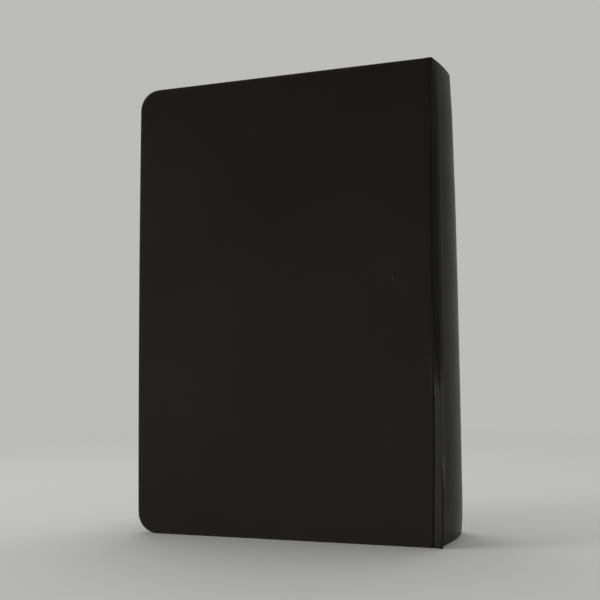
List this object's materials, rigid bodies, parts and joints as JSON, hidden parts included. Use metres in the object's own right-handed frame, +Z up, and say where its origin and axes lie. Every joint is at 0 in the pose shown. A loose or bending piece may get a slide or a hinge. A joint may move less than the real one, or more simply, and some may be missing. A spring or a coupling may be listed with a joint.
{
  "type": "ring binder",
  "caption": "Rigid black leatherette choir binder with a curved spine, rounded fore-edge corners, inside pockets and a lever-operated ring mechanism.",
  "frame": {"origin": "centre of the closed binder's foot", "axes": "+Z up along the spine, +X towards the spine, -Y out of the front cover"},
  "size_m": [0.192, 0.06, 0.2794],
  "materials": {
    "leatherette": "matte fine grain",
    "pocket_leatherette": "matte smooth",
    "lining": "matte embossed",
    "greyboard": "raw",
    "nickel_steel": "bright nickel plate"
  },
  "bodies": {
    "spine": {"spine_board": "greyboard", "spine_wrap": "leatherette", "spine_liner": "lining", "front_joint_strip": "leatherette", "front_joint_lining": "lining", "back_joint_strip": "leatherette", "back_joint_lining": "lining", "ring_base_plate": "nickel_steel", "upper_rivet": "nickel_steel", "lower_rivet": "nickel_steel", "upper_lever_pin": "nickel_steel", "lower_lever_pin": "nickel_steel"},
    "front_cover": {"front_board": "greyboard", "front_wrap": "leatherette", "front_liner": "lining", "front_pocket": "pocket_leatherette", "front_pocket_seams": "pocket_leatherette"},
    "back_cover": {"back_board": "greyboard", "back_wrap": "leatherette", "back_liner": "lining", "back_pocket": "pocket_leatherette", "back_pocket_seams": "pocket_leatherette"},
    "front_ring_arm": {"front_blade": "nickel_steel", "front_ring_upper": "nickel_steel", "front_ring_middle": "nickel_steel", "front_ring_lower": "nickel_steel"},
    "back_ring_arm": {"back_blade": "nickel_steel", "back_ring_upper": "nickel_steel", "back_ring_middle": "nickel_steel", "back_ring_lower": "nickel_steel"},
    "upper_lever": {"upper_lever": "nickel_steel"},
    "lower_lever": {"lower_lever": "nickel_steel"}
  },
  "joints": [
    {"name": "front_cover_hinge", "type": "hinge", "parent": "spine", "child": "front_cover", "pos_m": [0.09373, -0.02923, 0.1397], "axis": [0, 0, 1], "range_deg": [0, 180], "deforming": ["front_joint_strip", "front_joint_lining"]},
    {"name": "back_cover_hinge", "type": "hinge", "parent": "spine", "child": "back_cover", "pos_m": [0.09373, 0.02923, 0.1397], "axis": [0, 0, -1], "range_deg": [0, 180], "deforming": ["back_joint_strip", "back_joint_lining"]},
    {"name": "front_ring_swing", "type": "hinge", "parent": "spine", "child": "front_ring_arm", "pos_m": [0.08995, -0.0112, 0.1397], "axis": [0, 0, 1], "range_deg": [0, 15]},
    {"name": "back_ring_swing", "type": "hinge", "parent": "spine", "child": "back_ring_arm", "pos_m": [0.08995, 0.0112, 0.1397], "axis": [0, 0, -1], "range_deg": [0, 15]},
    {"name": "upper_lever_tilt", "type": "hinge", "parent": "spine", "child": "upper_lever", "pos_m": [0.08955, 0, 0.2597], "axis": [0, 1, 0], "range_deg": [0, 28]},
    {"name": "lower_lever_tilt", "type": "hinge", "parent": "spine", "child": "lower_lever", "pos_m": [0.08955, 0, 0.0197], "axis": [0, -1, 0], "range_deg": [0, 28]}
  ],
  "couplings": [
    {"joint": "back_ring_swing", "follows": "front_ring_swing", "ratio": 1},
    {"joint": "upper_lever_tilt", "follows": "front_ring_swing", "ratio": 1.8666},
    {"joint": "lower_lever_tilt", "follows": "front_ring_swing", "ratio": 1.8666}
  ]
}
